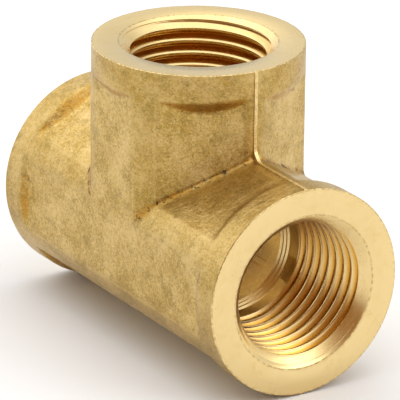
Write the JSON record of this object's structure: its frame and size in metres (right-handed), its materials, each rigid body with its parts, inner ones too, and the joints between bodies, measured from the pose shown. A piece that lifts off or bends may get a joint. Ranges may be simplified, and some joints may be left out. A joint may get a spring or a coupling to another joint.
{
  "type": "female pipe tee fitting",
  "caption": "Forged brass pipe tee with equal female taper-threaded ports, hexagonal arms and a round collar at each port.",
  "frame": {"origin": "on the underside of the run, below the point where the run and branch axes cross, which is 15.15 mm above it", "axes": "+X along the run towards one run port, +Z along the branch out of its port, Y across the forging's parting plane"},
  "size_m": [0.056, 0.03, 0.0432],
  "materials": {
    "forged_brass": "as-forged brass outside, bright machined faces, bores and threads"
  },
  "bodies": {
    "root": {"tee_body": "forged_brass"}
  },
  "joints": []
}
